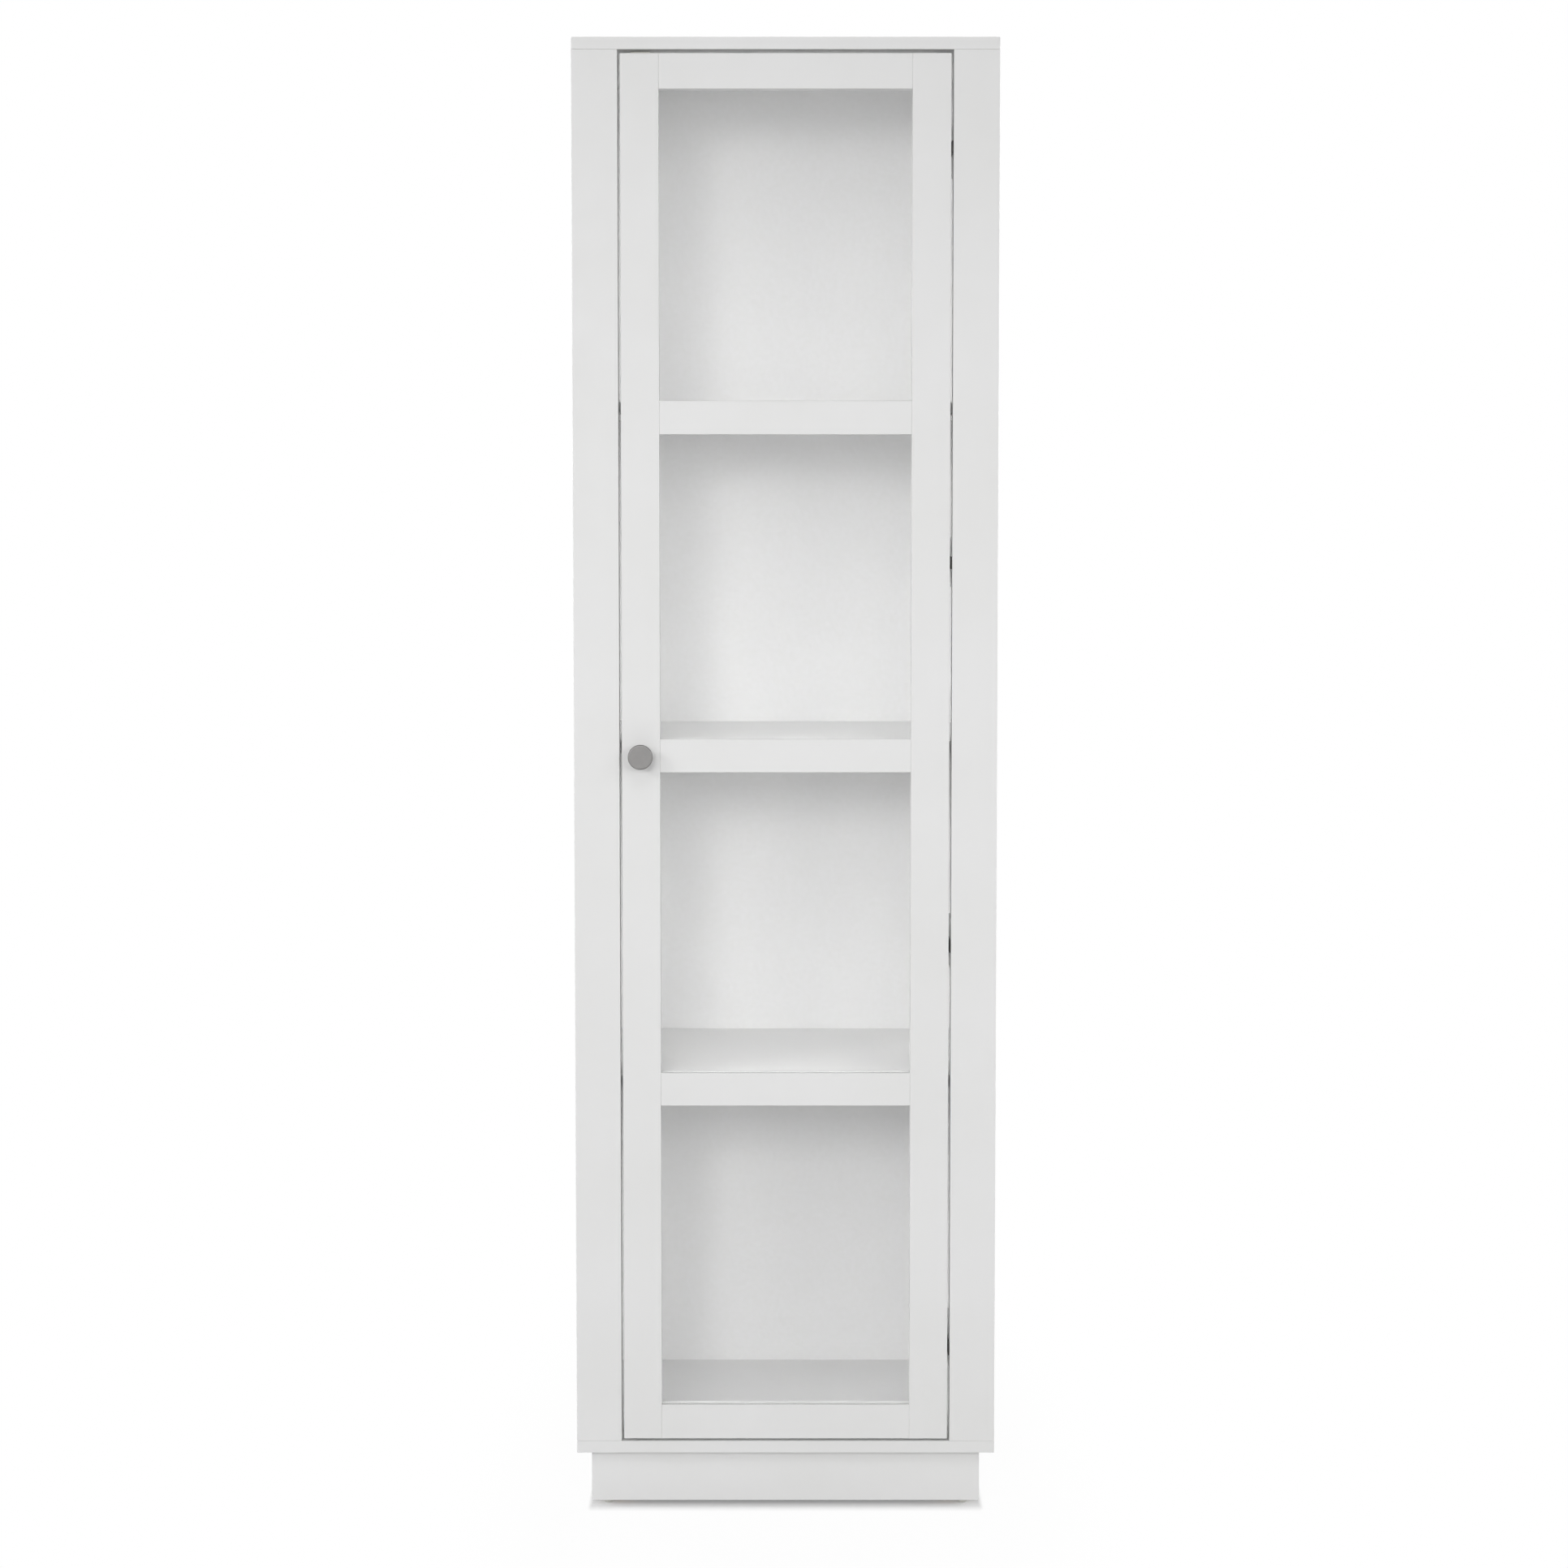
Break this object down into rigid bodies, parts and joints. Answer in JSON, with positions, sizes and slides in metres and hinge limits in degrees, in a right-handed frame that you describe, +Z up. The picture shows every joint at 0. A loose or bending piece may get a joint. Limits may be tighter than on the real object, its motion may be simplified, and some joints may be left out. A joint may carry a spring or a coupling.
{
  "type": "display cabinet",
  "caption": "Tall narrow display cabinet with a flush glazed door on concealed hinges, shelves behind it and a recessed plinth.",
  "frame": {"origin": "on the floor, under the centre of the whole cabinet's box, with its knob", "axes": "+Z up, the front with the door faces -Y, +X towards the hinged side"},
  "size_m": [0.52, 0.425, 1.818],
  "materials": {
    "white_lacquer": "satin",
    "white_foil": "satin",
    "beech": "matte",
    "clear_glass": "gloss",
    "satin_nickel": "satin",
    "hinge_steel": "satin",
    "zinc_plate": "satin",
    "pale_plastic": "matte",
    "clear_pad": "matte"
  },
  "bodies": {
    "carcass": {"top_panel": "white_lacquer", "bottom_panel": "white_lacquer", "side_panel_left": "white_lacquer", "side_panel_right": "white_lacquer", "front_stile_left": "white_lacquer", "front_stile_right": "white_lacquer", "back_panel": "white_foil", "shelf_lower": "white_foil", "shelf_middle": "white_foil", "shelf_upper": "white_foil", "shelf_pins": "zinc_plate", "plinth_front": "white_lacquer", "plinth_back": "white_lacquer", "plinth_side_left": "white_lacquer", "plinth_side_right": "white_lacquer", "plinth_corner_blocks": "beech", "plinth_screws": "zinc_plate", "floor_glides": "pale_plastic", "cam_locks": "zinc_plate", "cam_bolts": "zinc_plate", "panel_dowels": "beech", "stile_dowels": "beech", "door_stops": "pale_plastic", "door_stop_pads": "clear_pad", "door_stop_screws": "zinc_plate", "hinge_blocks": "white_foil", "hinge_plates": "hinge_steel", "hinge_plate_screws": "zinc_plate", "hinge_arm_1": "hinge_steel", "hinge_arm_2": "hinge_steel", "hinge_arm_3": "hinge_steel", "hinge_arm_4": "hinge_steel", "hinge_arm_screws": "zinc_plate", "hinge_arm_pins": "zinc_plate"},
    "door": {"hinge_cup_1": "hinge_steel", "hinge_cup_2": "hinge_steel", "hinge_cup_3": "hinge_steel", "hinge_cup_4": "hinge_steel", "hinge_cup_screws": "zinc_plate", "hinge_cup_pins": "zinc_plate", "door_stile_left": "white_lacquer", "door_stile_right": "white_lacquer", "door_rail_bottom": "white_lacquer", "door_rail_lower": "white_lacquer", "door_rail_middle": "white_lacquer", "door_rail_upper": "white_lacquer", "door_rail_top": "white_lacquer", "glass_pane_1": "clear_glass", "glass_pane_2": "clear_glass", "glass_pane_3": "clear_glass", "glass_pane_4": "clear_glass", "door_dowels": "beech", "glazing_beads": "white_lacquer", "door_knob": "satin_nickel", "knob_screw": "zinc_plate"},
    "swing_links": {"hinge_swing_links": "hinge_steel", "hinge_knuckle_pins": "zinc_plate"},
    "cranked_links": {"hinge_cranked_links": "hinge_steel"}
  },
  "joints": [
    {"name": "door_swing", "type": "hinge", "parent": "carcass", "child": "door", "pos_m": [0.20255, -0.1875, 0.945], "axis": [0, 0, 1], "range_deg": [0, 105]},
    {"name": "swing_link_turn", "type": "hinge", "parent": "carcass", "child": "swing_links", "pos_m": [0.188, -0.1605, 0.945], "axis": [0, 0, 1], "range_deg": [0, 105]},
    {"name": "cranked_link_turn", "type": "hinge", "parent": "swing_links", "child": "cranked_links", "pos_m": [0.17155, -0.1465, 0.945], "axis": [0, 0, 1], "range_deg": [-105, 0]}
  ],
  "couplings": [
    {"joint": "swing_link_turn", "follows": "door_swing", "ratio": 1},
    {"joint": "cranked_link_turn", "follows": "door_swing", "ratio": -1}
  ]
}
